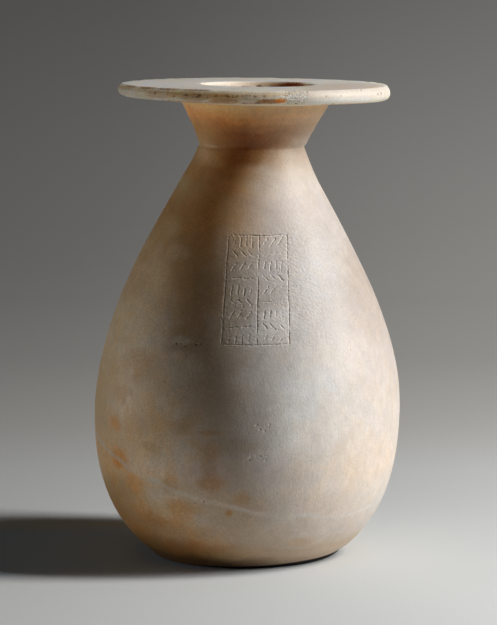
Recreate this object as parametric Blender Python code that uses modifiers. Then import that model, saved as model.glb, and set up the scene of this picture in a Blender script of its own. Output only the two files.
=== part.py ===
"""Piriform ointment jar, cut and hollowed from one block of banded travertine (calcite alabaster).

A pear-shaped body stands on a small flat foot. It narrows to a neck with a fine ledge, above which a
flaring collar opens into a wide, flat disc rim. A ruled panel with two columns of shallow strokes is
incised on the front. The jar was ground by hand, so its axis leans a little and its rim is uneven.

Metres, +Z up, the front towards -Y. The origin is the centre of the foot's flat underside.
"""

import math

import bmesh
import bpy
from mathutils import Vector
from mathutils.geometry import interpolate_bezier

# ---- Driving sizes ----
HEIGHT = 0.3200
TURN_STEPS = 64

FOOT_FLAT_RADIUS = 0.0600
FOOT_EDGE_RADIUS = 0.0646
FOOT_EDGE_HEIGHT = 0.0020
BELLY_RADIUS = 0.1041
BELLY_HEIGHT = 0.0974
NECK_RADIUS = 0.0360
NECK_HEIGHT = 0.2775
LEDGE_WIDTH = 0.0005
COLLAR_TOP_RADIUS = 0.0504
RIM_RADIUS = 0.0918
RIM_EDGE_THICKNESS = 0.0090
RIM_ROOT_THICKNESS = 0.0120
RIM_TOP_INSET = 0.0026
RIM_UNDER_INSET = 0.0042

MOUTH_RADIUS = 0.0376
LIP_ROUNDING = 0.0012
NECK_BORE_RADIUS = 0.0270
HOLLOW_BELLY_RADIUS = 0.0930
HOLLOW_BELLY_HEIGHT = 0.0990
HOLLOW_FLOOR_RADIUS = 0.0440
HOLLOW_FLOOR_HEIGHT = 0.0170
HOLLOW_CENTRE_HEIGHT = 0.0155
NECK_WALL_MIDDLE = 0.0315  # radius halfway through the wall at the neck, and at the mouth
MOUTH_WALL_MIDDLE = 0.0440

# ---- Unevenness of the hand work ----
# (height, how far the middle of the jar lies there to the right of the foot's centre)
AXIS_DRIFT = (
    (0.0000, 0.0000),
    (0.0600, 0.0002),
    (0.1400, 0.0015),
    (0.2050, 0.0012),
    (0.2500, 0.0018),
    (0.2775, 0.0034),
    (0.2790, 0.0047),
    (0.2933, 0.0057),
    (0.3055, 0.0063),
    (0.3110, 0.0056),
    (0.3200, 0.0054),
)
MOUTH_DRIFT = 0.0021  # the mouth opens this far to the right of the disc's middle
RIM_TOP_SLOPE = 0.0083  # the disc's top sinks towards the right
RIM_UNDER_SLOPE = 0.0185  # its underside sinks more, so it is thicker on the right

# ---- Incised panel, given as heights and sideways distances on the front ----
PANEL_TOP = 0.2235
PANEL_BOTTOM = 0.1550
PANEL_LINES_AT_TOP = (-0.0114, 0.0088, 0.0268)  # left edge, divider, right edge
PANEL_LINES_AT_BOTTOM = (-0.0161, 0.0068, 0.0286)
GROOVE_HALF_WIDTH = 0.0006
GROOVE_STEP = 0.0060
STROKE_ROWS = 9
STROKE_KINDS = ((84, 4), (8, 2), (52, 3), (-48, 3))  # degrees from level, strokes in the row
COLUMN_MARGIN = 0.12  # share of a column's width left bare at each side


def curve_points(start, start_pull, end_pull, end, count):
    """Points along one smooth stretch of outline, its first point left out."""
    corners = [Vector(p).to_3d() for p in (start, start_pull, end_pull, end)]
    return [(p.x, p.y) for p in interpolate_bezier(*corners, count + 1)[1:]]


def hollow_outline():
    """(radius, height) from the middle of the hollow's floor, up the inside, to the lip."""
    floor = (HOLLOW_FLOOR_RADIUS, HOLLOW_FLOOR_HEIGHT)
    past_floor = (0.0720, 0.0190)
    below_belly = (HOLLOW_BELLY_RADIUS, 0.0420)
    belly = (HOLLOW_BELLY_RADIUS, HOLLOW_BELLY_HEIGHT)
    above_belly = (HOLLOW_BELLY_RADIUS, 0.1740)
    below_neck = (0.0365, 0.2490)
    neck = (NECK_BORE_RADIUS, NECK_HEIGHT + LEDGE_WIDTH)
    above_neck = (NECK_BORE_RADIUS, 0.2930)
    below_lip = (0.0350, 0.3060)
    lip = (MOUTH_RADIUS, HEIGHT - LIP_ROUNDING)
    return (
        [(0.0, HOLLOW_CENTRE_HEIGHT), floor]
        + curve_points(floor, past_floor, below_belly, belly, 6)
        + curve_points(belly, above_belly, below_neck, neck, 8)
        + curve_points(neck, above_neck, below_lip, lip, 4)
        + [(MOUTH_RADIUS + LIP_ROUNDING, HEIGHT)]
    )


def rim_outline():
    """The disc: a flat top with a crisp arris, a bulging edge, an underside thickening inwards."""
    top_edge = (RIM_RADIUS - RIM_TOP_INSET, HEIGHT)
    past_top_edge = (RIM_RADIUS - 0.5 * RIM_TOP_INSET, HEIGHT - 0.0012)
    above_widest = (RIM_RADIUS, HEIGHT - 0.0026)
    widest = (RIM_RADIUS, HEIGHT - 0.5 * RIM_EDGE_THICKNESS)
    below_widest = (RIM_RADIUS, HEIGHT - 0.0068)
    past_widest = (RIM_RADIUS - 0.35 * RIM_UNDER_INSET, HEIGHT - 0.0085)
    under_edge = (RIM_RADIUS - RIM_UNDER_INSET, HEIGHT - RIM_EDGE_THICKNESS)
    root = (COLLAR_TOP_RADIUS, HEIGHT - RIM_ROOT_THICKNESS)
    return (
        [top_edge]
        + curve_points(top_edge, past_top_edge, above_widest, widest, 3)
        + curve_points(widest, below_widest, past_widest, under_edge, 3)
        + [root]
    )


def body_outline():
    """From under the rim, down the collar and over the body, to the foot."""
    collar_top = (COLLAR_TOP_RADIUS, HEIGHT - RIM_ROOT_THICKNESS)
    below_collar_top = (0.0450, 0.2990)
    above_collar_foot = (0.0389, 0.2874)
    collar_foot = (NECK_RADIUS - LEDGE_WIDTH, NECK_HEIGHT + LEDGE_WIDTH)
    neck = (NECK_RADIUS, NECK_HEIGHT)
    below_neck = (0.0476, 0.2444)
    above_belly = (BELLY_RADIUS, 0.1729)
    belly = (BELLY_RADIUS, BELLY_HEIGHT)
    below_belly = (BELLY_RADIUS, 0.0259)
    above_foot = (0.0693, 0.0078)
    foot_edge = (FOOT_EDGE_RADIUS, FOOT_EDGE_HEIGHT)
    below_foot_edge = (0.0637, 0.0007)
    beside_foot_flat = (0.0625, 0.0)
    foot_flat = (FOOT_FLAT_RADIUS, 0.0)
    return (
        curve_points(collar_top, below_collar_top, above_collar_foot, collar_foot, 5)
        + [neck]
        + curve_points(neck, below_neck, above_belly, belly, 12)
        + curve_points(belly, below_belly, above_foot, foot_edge, 9)
        + curve_points(foot_edge, below_foot_edge, beside_foot_flat, foot_flat, 2)
        + [(0.0, 0.0)]
    )


def axis_shift(height):
    """How far the middle of the jar lies to the right of the foot's centre at this height."""
    below, above = next(pair for pair in zip(AXIS_DRIFT, AXIS_DRIFT[1:]) if height <= pair[1][0] + 1e-6)
    share = (height - below[0]) / (above[0] - below[0])
    eased = share * share * (3.0 - 2.0 * share)
    return below[1] + eased * (above[1] - below[1])


def made_uneven(point):
    """Moves a point of the true turned shape to where the hand-ground surface has it."""
    x, y, z = point
    on_rim = min(1.0, max(0.0, (z - NECK_HEIGHT) / (HEIGHT - RIM_ROOT_THICKNESS - NECK_HEIGHT)))
    towards_underside = min(1.0, (HEIGHT - z) / RIM_EDGE_THICKNESS)
    slope = RIM_TOP_SLOPE + (RIM_UNDER_SLOPE - RIM_TOP_SLOPE) * towards_underside
    up_neck = min(1.0, max(0.0, (z - NECK_HEIGHT) / (HEIGHT - NECK_HEIGHT)))
    middle_of_wall = NECK_WALL_MIDDLE + up_neck * (MOUTH_WALL_MIDDLE - NECK_WALL_MIDDLE)
    off_centre = MOUTH_DRIFT * up_neck if math.hypot(x, y) < middle_of_wall else 0.0
    return Vector((x + axis_shift(z) + off_centre, y, z - slope * on_rim * x))


def front_surface(x, z, outline):
    """The point on the front of the body at this sideways distance and height."""
    above, below = next(pair for pair in zip(outline, outline[1:]) if pair[0][1] >= z > pair[1][1])
    share = (above[1] - z) / (above[1] - below[1])
    radius = above[0] + share * (below[0] - above[0])
    off_axis = x - axis_shift(z)
    return Vector((x, -math.sqrt(radius**2 - off_axis**2), z))


def collection_named(name):
    collection = bpy.data.collections.new(name)
    bpy.context.scene.collection.children.link(collection)
    return collection


def travertine():
    """Polished banded travertine: warm cream, close-grained, with a soft low gloss."""
    material = bpy.data.materials.new("travertine")
    material.use_nodes = True
    shader = material.node_tree.nodes["Principled BSDF"]
    shader.inputs["Base Color"].default_value = (0.56, 0.46, 0.35, 1.0)
    shader.inputs["Roughness"].default_value = 0.42
    shader.inputs["Metallic"].default_value = 0.0
    return material


def turned_jar(outline, collection):
    """The outline turned about the upright axis into one closed wall, then made uneven."""
    profile = bpy.data.meshes.new("profile")
    points = [(radius, 0.0, height) for radius, height in outline]
    profile.from_pydata(points, [(i, i + 1) for i in range(len(points) - 1)], [])
    spinner = bpy.data.objects.new("spinner", profile)
    collection.objects.link(spinner)
    screw = spinner.modifiers.new("turn", "SCREW")
    screw.steps = screw.render_steps = TURN_STEPS
    screw.use_merge_vertices = True
    screw.merge_threshold = 0.00001
    bpy.context.view_layer.update()
    turned = bpy.data.meshes.new_from_object(
        spinner.evaluated_get(bpy.context.evaluated_depsgraph_get())
    )
    bpy.data.objects.remove(spinner)
    for vertex in turned.vertices:
        vertex.co = made_uneven(vertex.co)
    jar = bpy.data.objects.new("jar", turned)
    collection.objects.link(jar)
    return jar


def groove_cutter(ends, outline, collection):
    """A thin four-sided blade laid along the surface between two (x, height) points."""
    (x0, z0), (x1, z1) = ends
    steps = max(1, round(math.hypot(x1 - x0, z1 - z0) / GROOVE_STEP))
    curve = bpy.data.curves.new("groove", "CURVE")
    curve.dimensions = "3D"
    curve.bevel_depth = GROOVE_HALF_WIDTH
    curve.bevel_resolution = 0
    curve.use_fill_caps = True
    spline = curve.splines.new("POLY")
    spline.points.add(steps)
    for i, point in enumerate(spline.points):
        share = i / steps
        place = front_surface(x0 + share * (x1 - x0), z0 + share * (z1 - z0), outline)
        point.co = (*place, 1.0)
    guide = bpy.data.objects.new("groove_guide", curve)
    collection.objects.link(guide)
    bpy.context.view_layer.update()
    mesh = bpy.data.meshes.new_from_object(
        guide.evaluated_get(bpy.context.evaluated_depsgraph_get())
    )
    bpy.data.objects.remove(guide)
    welded = bmesh.new()
    welded.from_mesh(mesh)
    bmesh.ops.remove_doubles(welded, verts=welded.verts, dist=0.00001)
    bmesh.ops.recalc_face_normals(welded, faces=welded.faces)
    welded.to_mesh(mesh)
    welded.free()
    cutter = bpy.data.objects.new("groove_cutter", mesh)
    cutter.hide_render = True
    cutter.display_type = "WIRE"
    collection.objects.link(cutter)


def panel_line(index, down):
    """Sideways place of the panel's left edge, divider or right edge, at a share of its height."""
    return PANEL_LINES_AT_TOP[index] + down * (
        PANEL_LINES_AT_BOTTOM[index] - PANEL_LINES_AT_TOP[index]
    )


def panel_point(column, across, down):
    """(x, height) at shares across and down one column of the panel."""
    left, right = panel_line(column, down), panel_line(column + 1, down)
    return left + across * (right - left), PANEL_TOP + down * (PANEL_BOTTOM - PANEL_TOP)


def frame_lines():
    uprights = [(panel_point(c, a, 0.0), panel_point(c, a, 1.0)) for c, a in ((0, 0), (1, 0), (1, 1))]
    levels = [(panel_point(0, 0.0, down), panel_point(1, 1.0, down)) for down in (0.0, 1.0)]
    return uprights + levels


def stroke_lines(column):
    """Rows of short separate strokes. Each row repeats one plain stroke, so that nothing is spelt."""
    lines = []
    row_pitch = (PANEL_TOP - PANEL_BOTTOM) / STROKE_ROWS
    for row in range(STROKE_ROWS):
        angle, count = STROKE_KINDS[(3 * row + 2 * column) % len(STROKE_KINDS)]
        tilt = math.radians(angle)
        for place in range(count):
            across = COLUMN_MARGIN + (1 - 2 * COLUMN_MARGIN) * (place + 0.5) / count
            unevenness = ((2 * row + 3 * place + column) % 5 - 2) / 2
            x, z = panel_point(column, across, (row + 0.5 + 0.06 * unevenness) / STROKE_ROWS)
            half = row_pitch * (0.33 + 0.04 * unevenness)
            dx, dz = half * math.cos(tilt), half * math.sin(tilt)
            lines.append(((x - dx, z - dz), (x + dx, z + dz)))
    return lines


def cut_panel(jar, outline, cutters):
    """Cuts the ruled frame and both columns of strokes into the front of the body."""
    for ends in frame_lines() + stroke_lines(0) + stroke_lines(1):
        groove_cutter(ends, outline, cutters)
    cut = jar.modifiers.new("incised_panel", "BOOLEAN")
    cut.operation = "DIFFERENCE"
    cut.operand_type = "COLLECTION"
    cut.collection = cutters
    cut.solver = "EXACT"


def main():
    for item in list(bpy.data.objects):
        bpy.data.objects.remove(item)
    piriform_jar = collection_named("piriform_jar")
    cutters = collection_named("panel_cutters")
    outer = body_outline()
    jar = turned_jar(hollow_outline() + rim_outline() + outer, piriform_jar)
    jar.data.materials.append(travertine())
    jar.data.shade_smooth()
    jar.data.set_sharp_from_angle(angle=math.radians(35))
    cut_panel(jar, outer, cutters)


main()
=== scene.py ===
"""Piriform jar, turned and hollowed by hand from one block of banded travertine.

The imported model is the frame. The jar's surface is made here again on the same sizes, finer, with
the relief, wear and stone pattern that the plain solid leaves out. Metres, +Z up, the front
towards -Y.
"""

import math
import random

import bpy
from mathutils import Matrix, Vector, noise
from mathutils.geometry import interpolate_bezier
from mathutils.kdtree import KDTree


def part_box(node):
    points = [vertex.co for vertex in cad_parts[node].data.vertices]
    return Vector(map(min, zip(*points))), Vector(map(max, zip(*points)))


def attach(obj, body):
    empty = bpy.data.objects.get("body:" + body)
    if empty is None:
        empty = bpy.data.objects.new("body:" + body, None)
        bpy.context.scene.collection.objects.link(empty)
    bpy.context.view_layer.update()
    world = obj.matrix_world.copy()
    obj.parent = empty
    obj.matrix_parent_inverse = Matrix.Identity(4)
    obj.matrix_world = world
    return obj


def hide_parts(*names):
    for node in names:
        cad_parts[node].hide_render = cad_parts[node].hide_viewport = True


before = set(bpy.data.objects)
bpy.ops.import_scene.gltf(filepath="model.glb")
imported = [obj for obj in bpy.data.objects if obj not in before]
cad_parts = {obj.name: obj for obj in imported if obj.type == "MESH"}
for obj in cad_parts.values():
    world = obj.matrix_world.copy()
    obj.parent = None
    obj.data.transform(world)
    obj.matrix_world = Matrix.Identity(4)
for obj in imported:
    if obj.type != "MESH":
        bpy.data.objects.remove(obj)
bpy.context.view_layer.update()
jar_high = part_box("jar")[1]

# ---- Camera ----
# A long lens about two metres in front of the jar and a little above its middle, so that the disc
# rim shows a sliver of its top.

RIM_RISE = 0.0007  # the disc tilts, and its left side stands this much above its middle
CAMERA_AIM = Vector((0.0017, 0.0, 0.5 * (jar_high[2] - RIM_RISE)))
CAMERA_DISTANCE = 2.087
CAMERA_ELEVATION = math.radians(7.19)
CAMERA_LOW_AIM = math.radians(0.125)
CAMERA_LENS_MM = 176.5

camera_place = CAMERA_AIM + CAMERA_DISTANCE * Vector(
    (0.0, -math.cos(CAMERA_ELEVATION), math.sin(CAMERA_ELEVATION))
)
bpy.ops.object.camera_add(
    location=camera_place,
    rotation=(math.radians(90.0) - CAMERA_ELEVATION + CAMERA_LOW_AIM, 0.0, 0.0),
)
camera = bpy.context.object
camera.name = "studio_camera"
camera.data.lens = CAMERA_LENS_MM
camera.data.clip_end = 30.0
bpy.context.scene.camera = camera
bpy.context.scene.view_settings.view_transform = "Standard"

# ---- Sweep ----
# A round cove of plain pale paper: it lies flat under the jar, and rises far off in a wide curve
# all round it. It is palest where the jar stands, and its tone falls away from there on every side:
# a painted pool of light and painted shade that stand in for the lamps' fall-off.

COVE_RADIUS = 4.6
COVE_BEND = 2.8
COVE_TOP = 3.4
COVE_STEPS = 96
WELD = 0.00001  # points closer together than this are one
# (how far behind the jar, tone of the paper there, painted shade included)
PAPER_TONES_AND_SHADE = (
    (-0.45, "5E5D5B"),
    (-0.27, "ECEFEF"),
    (-0.16, "E7EAEA"),
    (0.00, "DADEDF"),
    (0.32, "D6D8D8"),
    (0.53, "CAC9C6"),
    (0.75, "BFBEBB"),
    (0.95, "B1B0AD"),
    (1.18, "A7A6A3"),
    (1.45, "9B9A97"),
    (2.13, "8B8A87"),
    (3.20, "767573"),
    (4.00, "686765"),
    (4.60, "5D5C5A"),
)
PALE_HALF_WIDTH = 0.22
FADED_HALF_WIDTH = 2.2 * PALE_HALF_WIDTH
WIDENING = 0.12  # how much wider the pale strip gets on each side for its length
# Painted shade: the paper darkens out to the sides, and on the left, away from the key light.
SIDE_SHADE = 0.22  # how much of its tone the paper keeps far out to either side
LEFT_SHADE = 0.09  # the paper is a little darker on the left than on the right
LEFT_SHADE_REACH = 0.25
SHADOW_TINT_CENTRE = (-0.16, 0.00)  # the middle of the shadow on the floor
# Across and along it, how far from there the painted cool tint of the shade is full, and where it
# ends.
SHADOW_TINT_REACH = ((0.09, 0.22), (0.055, 0.10))
SHADOW_TINT = (0.79, 1.00, 1.28)


def linear(code):
    """An sRGB hex colour as linear red, green, blue and alpha."""
    shares = [int(code[i : i + 2], 16) / 255.0 for i in (0, 2, 4)]
    return [s / 12.92 if s <= 0.04045 else ((s + 0.055) / 1.055) ** 2.4 for s in shares] + [1.0]


def add_node(tree, kind, settings=(), inputs=(), stops=()):
    """Adds a shader node. settings are its properties; inputs are values or other nodes' sockets.

    stops are the (position, hex colour) pairs of a colour ramp."""
    made = tree.nodes.new("ShaderNode" + kind)
    for name, value in dict(settings).items():
        setattr(made, name, value)
    for socket, value in dict(inputs).items():
        if isinstance(value, bpy.types.NodeSocket):
            tree.links.new(value, made.inputs[socket])
        else:
            made.inputs[socket].default_value = value
    for place, (position, code) in enumerate(stops):
        elements = made.color_ramp.elements
        element = elements[place] if place < len(elements) else elements.new(position)
        element.position = position
        element.color = linear(code)
    return made


# Settings that many nodes share. A colour mix takes its share in 0 and its colours in 6 and 7.
SMOOTH_FADE = {"interpolation_type": "SMOOTHSTEP"}
COLOUR_MIX = {"data_type": "RGBA"}
TIMES = {"operation": "MULTIPLY"}
TIMES_PLUS = {"operation": "MULTIPLY_ADD"}
SCALED = {"operation": "SCALE"}


def new_material(name):
    """An empty Principled material, its node tree and its shader."""
    material = bpy.data.materials.new(name)
    material.use_nodes = True
    return material, material.node_tree, material.node_tree.nodes["Principled BSDF"]


def edit_only(thing):
    """Makes one object the active and only selected one, and opens it in edit mode."""
    bpy.ops.object.select_all(action="DESELECT")
    thing.select_set(True)
    bpy.context.view_layer.objects.active = thing
    bpy.ops.object.mode_set(mode="EDIT")


def curve_points(start, start_pull, end_pull, end, count):
    """Points along one smooth stretch of outline, its first point left out."""
    corners = [Vector(p).to_3d() for p in (start, start_pull, end_pull, end)]
    return [(p.x, p.y) for p in interpolate_bezier(*corners, count + 1)[1:]]


def straight_points(start, end, count):
    """Points along one straight stretch of outline, its first point left out."""
    return [tuple(Vector(start).lerp(Vector(end), (i + 1) / count)) for i in range(count)]


def spun(name, outline, steps):
    """Draws an outline of (radius, height) points as a chain of edges, and spins it about Z."""
    bpy.ops.object.select_all(action="DESELECT")
    bpy.ops.mesh.primitive_plane_add(size=0.001, location=(0.0, 0.0, 0.0))
    turned = bpy.context.object
    turned.name = name
    edit_only(turned)
    bpy.ops.mesh.select_mode(type="VERT")
    bpy.ops.mesh.select_all(action="SELECT")
    bpy.ops.mesh.merge(type="CENTER")
    bpy.ops.transform.translate(value=(outline[0][0], 0.0, outline[0][1]))
    for (radius, height), (next_radius, next_height) in zip(outline, outline[1:]):
        step = (next_radius - radius, 0.0, next_height - height)
        bpy.ops.mesh.extrude_region_move(TRANSFORM_OT_translate={"value": step})
    bpy.ops.mesh.select_all(action="SELECT")
    bpy.ops.mesh.spin(steps=steps, angle=math.tau, center=(0.0, 0.0, 0.0), axis=(0.0, 0.0, 1.0))
    bpy.ops.mesh.select_all(action="SELECT")
    bpy.ops.mesh.remove_doubles(threshold=WELD)
    bpy.ops.mesh.normals_make_consistent(inside=False)
    bpy.ops.object.mode_set(mode="OBJECT")
    turned.data.shade_smooth()
    return turned


bend_start = (COVE_RADIUS - COVE_BEND, 0.0)
bend_end = (COVE_RADIUS, COVE_BEND)
bend_pull = (COVE_RADIUS - 0.45 * COVE_BEND, 0.0)
rise_pull = (COVE_RADIUS, 0.45 * COVE_BEND)
cove = spun(
    "paper_cove",
    [(0.0, 0.0)]
    + straight_points((0.0, 0.0), bend_start, 4)
    + curve_points(bend_start, bend_pull, rise_pull, bend_end, 24)
    + [(COVE_RADIUS, COVE_TOP)],
    COVE_STEPS,
)

paper, tree, shader = new_material("matt_backdrop_paper")
where = add_node(tree, "TexCoord").outputs["Object"]
place = add_node(tree, "SeparateXYZ", inputs={0: where})
nearest, farthest = PAPER_TONES_AND_SHADE[0][0], PAPER_TONES_AND_SHADE[-1][0]
behind = add_node(
    tree,
    "MapRange",
    inputs={"Value": place.outputs["Y"], "From Min": nearest, "From Max": farthest},
)
stops = [((y - nearest) / (farthest - nearest), tone) for y, tone in PAPER_TONES_AND_SHADE]
tone = add_node(tree, "ValToRGB", inputs={0: behind.outputs[0]}, stops=stops)
aside = add_node(tree, "Math", {"operation": "ABSOLUTE"}, {0: place.outputs["X"]})
past_strip = add_node(
    tree, "Math", TIMES_PLUS, {0: place.outputs["Y"], 1: -WIDENING, 2: aside.outputs[0]}
)
side_shade = add_node(
    tree,
    "MapRange",
    SMOOTH_FADE,
    {
        "Value": past_strip.outputs[0],
        "From Min": PALE_HALF_WIDTH,
        "From Max": FADED_HALF_WIDTH,
        "To Min": 1.0,
        "To Max": SIDE_SHADE,
    },
)
left_shade = add_node(
    tree,
    "MapRange",
    SMOOTH_FADE,
    {
        "Value": place.outputs["X"],
        "From Min": -LEFT_SHADE_REACH,
        "From Max": LEFT_SHADE_REACH,
        "To Min": 1.0 - LEFT_SHADE,
        "To Max": 1.0 + LEFT_SHADE,
    },
)
# The painted shade to the sides and on the left darkens the paper's tone.
toned = tone.outputs["Color"]
for shade in (side_shade, left_shade):
    toned = add_node(tree, "VectorMath", SCALED, {0: toned, "Scale": shade.outputs[0]}).outputs[0]
# The paper is painted cool where the jar's shadow falls: a painted tint of the shade, against the
# honey light the stone throws on the floor there.
shadow_tint_share = None
for axis, centre, (inner, outer) in zip("XY", SHADOW_TINT_CENTRE, SHADOW_TINT_REACH):
    off = add_node(tree, "Math", {"operation": "SUBTRACT"}, {0: place.outputs[axis], 1: centre})
    off = add_node(tree, "Math", {"operation": "ABSOLUTE"}, {0: off.outputs[0]})
    within = add_node(
        tree,
        "MapRange",
        SMOOTH_FADE,
        {"Value": off.outputs[0], "From Min": outer, "From Max": inner},
    ).outputs[0]
    if shadow_tint_share:
        within = add_node(tree, "Math", TIMES, {0: shadow_tint_share, 1: within}).outputs[0]
    shadow_tint_share = within
shadow_tinted = add_node(tree, "VectorMath", TIMES, {0: toned, 1: SHADOW_TINT})
toned = add_node(
    tree, "Mix", COLOUR_MIX, {0: shadow_tint_share, 6: toned, 7: shadow_tinted.outputs[0]}
).outputs[2]
tree.links.new(toned, shader.inputs["Base Color"])
shader.inputs["Roughness"].default_value = 0.95
shader.inputs["Specular IOR Level"].default_value = 0.1
cove.data.materials.append(paper)

# ---- Lamps ----
# A softbox stands high on the right, and a white card on the left throws a little warm light back.
# A third lamp lights the paper far behind the jar, and the room itself is nearly dark.

LAMP_AIM = Vector((0.0, 0.0, 0.16))
BACKDROP_AIM = Vector((0.5, 3.0, 0.0))


def add_softbox(name, target, azimuth, elevation, distance, size, power, colour, spread):
    """An area lamp aimed at a target. Azimuth is measured from the camera towards the right."""
    turn, lift = math.radians(azimuth), math.radians(elevation)
    level = math.cos(lift)
    towards = Vector((math.sin(turn) * level, -math.cos(turn) * level, math.sin(lift)))
    place = target + distance * towards
    bpy.ops.object.light_add(
        type="AREA", location=place, rotation=(-towards).to_track_quat("-Z", "Y").to_euler()
    )
    lamp = bpy.context.object
    lamp.name = name
    lamp.data.shape = "RECTANGLE"
    lamp.data.size, lamp.data.size_y = size
    lamp.data.energy = power
    lamp.data.color = linear(colour)[:3]
    lamp.data.spread = math.radians(spread)
    lamp.visible_camera = False


add_softbox("key_softbox", LAMP_AIM, 83.0, 30.0, 1.8, (0.36, 1.30), 40.0, "FFFDFB", 180.0)
add_softbox("left_card", LAMP_AIM, -98.0, 0.0, 2.2, (0.40, 0.20), 0.95, "FFFBF6", 60.0)
add_softbox("backdrop_lamp", BACKDROP_AIM, 35.0, 40.0, 2.4, (1.60, 0.80), 20.0, "FFFFFF", 120.0)

room = bpy.data.worlds.new("dark_studio")
room.use_nodes = True
room.node_tree.nodes["Background"].inputs["Color"].default_value = linear("F4F6FF")
room.node_tree.nodes["Background"].inputs["Strength"].default_value = 0.004
bpy.context.scene.world = room

# ---- Jar ----
# The whole vessel is one block of travertine: the outside ground down with stone and sand, the
# inside bored, and the disc rim left solid with the collar. It stands on its own flat foot.

HEIGHT = 0.3200
TURN_STEPS = 144

FOOT_FLAT_RADIUS = 0.0600
FOOT_EDGE_RADIUS = 0.0646
FOOT_EDGE_HEIGHT = 0.0020
BELLY_RADIUS = 0.1041
BELLY_HEIGHT = 0.0974
NECK_RADIUS = 0.0360
NECK_HEIGHT = 0.2775
LEDGE_WIDTH = 0.0005
COLLAR_TOP_RADIUS = 0.0504
RIM_RADIUS = 0.0918
RIM_EDGE_THICKNESS = 0.0090
RIM_ROOT_THICKNESS = 0.0120
RIM_TOP_INSET = 0.0026
RIM_UNDER_INSET = 0.0042

MOUTH_RADIUS = 0.0376
LIP_ROUNDING = 0.0012
NECK_BORE_RADIUS = 0.0270
HOLLOW_BELLY_RADIUS = 0.0930
HOLLOW_BELLY_HEIGHT = 0.0990
HOLLOW_FLOOR_RADIUS = 0.0440
HOLLOW_FLOOR_HEIGHT = 0.0170
HOLLOW_CENTRE_HEIGHT = 0.0155
NECK_WALL_MIDDLE = 0.0315  # radius halfway through the wall at the neck, and at the mouth
MOUTH_WALL_MIDDLE = 0.0440

floor = (HOLLOW_FLOOR_RADIUS, HOLLOW_FLOOR_HEIGHT)
hollow_belly = (HOLLOW_BELLY_RADIUS, HOLLOW_BELLY_HEIGHT)
bore = (NECK_BORE_RADIUS, NECK_HEIGHT + LEDGE_WIDTH)
lip = (MOUTH_RADIUS, HEIGHT - LIP_ROUNDING)
lip_pull = (MOUTH_RADIUS + 0.0002, HEIGHT - 0.0004)
lip_top_pull = (MOUTH_RADIUS + 0.0005, HEIGHT)
lip_top = (MOUTH_RADIUS + LIP_ROUNDING, HEIGHT)
hollow_outline = (
    [(0.0, HOLLOW_CENTRE_HEIGHT)]
    + straight_points((0.0, HOLLOW_CENTRE_HEIGHT), floor, 3)
    + curve_points(floor, (0.0720, 0.0190), (HOLLOW_BELLY_RADIUS, 0.0420), hollow_belly, 8)
    + curve_points(hollow_belly, (HOLLOW_BELLY_RADIUS, 0.1740), (0.0365, 0.2490), bore, 14)
    + curve_points(bore, (NECK_BORE_RADIUS, 0.2930), (0.0350, 0.3060), lip, 12)
    + curve_points(lip, lip_pull, lip_top_pull, lip_top, 3)
)
top_edge = (RIM_RADIUS - RIM_TOP_INSET, HEIGHT)
top_edge_pull = (RIM_RADIUS - 0.0013, HEIGHT - 0.0012)
above_widest = (RIM_RADIUS, HEIGHT - 0.0026)
widest = (RIM_RADIUS, HEIGHT - 0.5 * RIM_EDGE_THICKNESS)
below_widest = (RIM_RADIUS, HEIGHT - 0.0068)
under_edge_pull = (RIM_RADIUS - 0.0015, HEIGHT - 0.0085)
under_edge = (RIM_RADIUS - RIM_UNDER_INSET, HEIGHT - RIM_EDGE_THICKNESS)
rim_root = (COLLAR_TOP_RADIUS, HEIGHT - RIM_ROOT_THICKNESS)
rim_outline = (
    straight_points(lip_top, top_edge, 16)
    + curve_points(top_edge, top_edge_pull, above_widest, widest, 5)
    + curve_points(widest, below_widest, under_edge_pull, under_edge, 5)
    + straight_points(under_edge, rim_root, 10)
)
collar_foot = (NECK_RADIUS - LEDGE_WIDTH, NECK_HEIGHT + LEDGE_WIDTH)
neck = (NECK_RADIUS, NECK_HEIGHT)
belly = (BELLY_RADIUS, BELLY_HEIGHT)
foot_edge = (FOOT_EDGE_RADIUS, FOOT_EDGE_HEIGHT)
foot_flat = (FOOT_FLAT_RADIUS, 0.0)
body_outline = (
    curve_points(rim_root, (0.0450, 0.2990), (0.0389, 0.2874), collar_foot, 14)
    + [neck]
    + curve_points(neck, (0.0476, 0.2444), (BELLY_RADIUS, 0.1729), belly, 72)
    + curve_points(belly, (BELLY_RADIUS, 0.0259), (0.0693, 0.0078), foot_edge, 36)
    + curve_points(foot_edge, (0.0637, 0.0007), (0.0625, 0.0), foot_flat, 4)
    + straight_points(foot_flat, (0.0, 0.0), 4)
)
outline = hollow_outline + rim_outline + body_outline

jar = spun("carved_jar", outline, TURN_STEPS)

# (height, how far the middle of the jar lies there to the right of the foot's centre)
AXIS_DRIFT = (
    (0.0000, 0.0000),
    (0.0600, 0.0002),
    (0.1400, 0.0015),
    (0.2050, 0.0012),
    (0.2500, 0.0018),
    (0.2775, 0.0034),
    (0.2790, 0.0047),
    (0.2933, 0.0057),
    (0.3055, 0.0063),
    (0.3110, 0.0056),
    (0.3200, 0.0054),
)
MOUTH_DRIFT = 0.0021  # the mouth opens this far to the right of the disc's middle
RIM_TOP_SLOPE = 0.0083  # the disc's top sinks towards the right
RIM_UNDER_SLOPE = 0.0185  # its underside sinks more, so it is thicker on the right
FOOT_LIFT = 0.0012  # the foot's worn edge clears the table by this much more on the right


def axis_shift(height):
    """How far the middle of the jar lies to the right of the foot's centre at this height."""
    pairs = zip(AXIS_DRIFT, AXIS_DRIFT[1:])
    below, above = next(pair for pair in pairs if height <= pair[1][0] + WELD)
    share = (height - below[0]) / (above[0] - below[0])
    eased = share * share * (3.0 - 2.0 * share)
    return below[1] + eased * (above[1] - below[1])


def share_between(value, start, end):
    """How far a value has come from start to end, kept from 0 to 1."""
    return min(1.0, max(0.0, (value - start) / (end - start)))


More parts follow.
